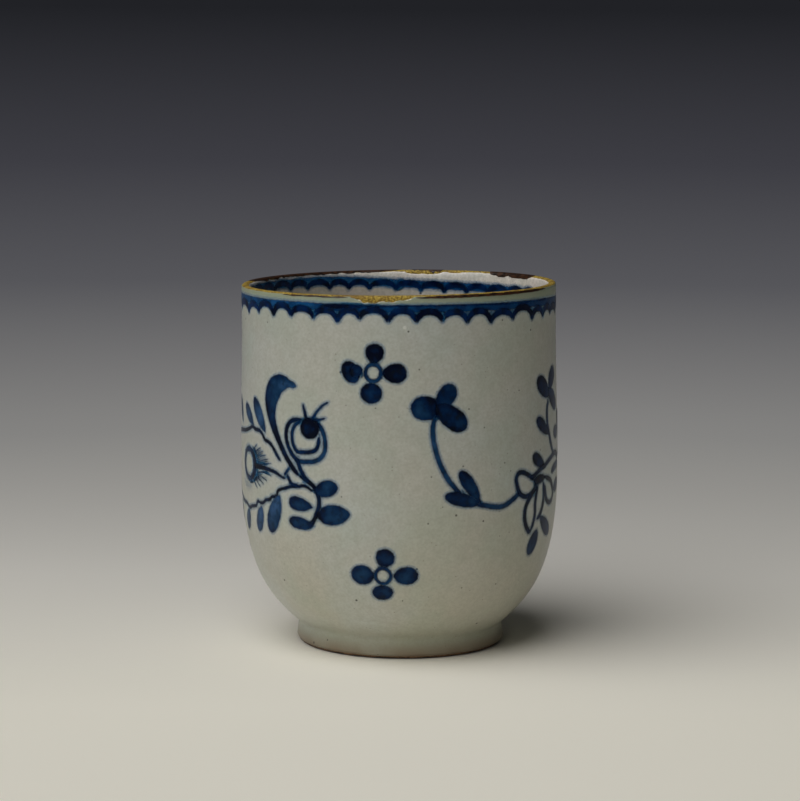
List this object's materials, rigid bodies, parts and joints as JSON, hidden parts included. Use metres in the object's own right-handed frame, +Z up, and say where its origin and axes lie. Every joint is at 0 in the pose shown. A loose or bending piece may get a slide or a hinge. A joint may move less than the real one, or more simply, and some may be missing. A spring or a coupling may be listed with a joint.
{
  "type": "coffee cup",
  "caption": "Small round coffee cup without a handle, on a low foot ring, with painted flower sprays and a scalloped border.",
  "frame": {"origin": "middle of the foot ring, on the plane of the table", "axes": "+Z up through the mouth, -Y towards the side with the two florets between the sprays"},
  "size_m": [0.0634, 0.0632, 0.072],
  "materials": {
    "clay": "fired buff earthenware, unglazed and slightly rough",
    "glaze": "glossy greyish white tin glaze with fine dark pinholes",
    "iron_brown": "brown line on the lip, worn",
    "cobalt": "cobalt blue brushwork under a glossy surface, from mid blue to near black"
  },
  "bodies": {
    "root": {"back_lower_floret": "cobalt", "back_trailing_stem": "cobalt", "back_upper_floret": "cobalt", "clay_body": "clay", "foot_recess_glaze": "glaze", "inner_border": "cobalt", "inner_glaze": "glaze", "left_bud": "cobalt", "left_comma_leaf": "cobalt", "left_flower_eye": "cobalt", "left_flower_leaf_above_1": "cobalt", "left_flower_leaf_above_2": "cobalt", "left_flower_leaf_above_3": "cobalt", "left_flower_leaf_above_4": "cobalt", "left_flower_leaf_below_1": "cobalt", "left_flower_leaf_below_2": "cobalt", "left_flower_leaf_below_3": "cobalt", "left_flower_leaf_below_4": "cobalt", "left_flower_lower_edge": "cobalt", "left_flower_upper_edge": "cobalt", "left_flower_vein": "cobalt", "left_stem": "cobalt", "left_stem_leaf_1": "cobalt", "left_stem_leaf_2": "cobalt", "left_stem_leaf_3": "cobalt", "left_stem_leaf_4": "cobalt", "lip_line_back_left": "iron_brown", "lip_line_back_middle": "iron_brown", "lip_line_back_right": "iron_brown", "lip_line_front_left": "iron_brown", "lip_line_front_right": "iron_brown", "lower_floret_bottom_petal": "cobalt", "lower_floret_left_petal": "cobalt", "lower_floret_right_petal": "cobalt", "lower_floret_ring": "cobalt", "lower_floret_top_petal": "cobalt", "outer_border": "cobalt", "outer_glaze": "glaze", "right_branch_leaf_1": "cobalt", "right_branch_leaf_2": "cobalt", "right_branch_leaf_3": "cobalt", "right_branch_leaf_4": "cobalt", "right_branch_leaf_5": "cobalt", "right_branch_stem": "cobalt", "right_fan_leaf_1": "cobalt", "right_fan_leaf_2": "cobalt", "right_fan_loop_1": "cobalt", "right_fan_loop_2": "cobalt", "right_fan_loop_3": "cobalt", "right_heart_leaf": "cobalt", "right_heart_loop": "cobalt", "right_leaf_pair": "cobalt", "right_root_stem": "cobalt", "right_trefoil": "cobalt", "right_trefoil_stem": "cobalt", "upper_floret_bottom_petal": "cobalt", "upper_floret_left_petal": "cobalt", "upper_floret_right_petal": "cobalt", "upper_floret_ring": "cobalt", "upper_floret_top_petal": "cobalt"}
  },
  "joints": []
}
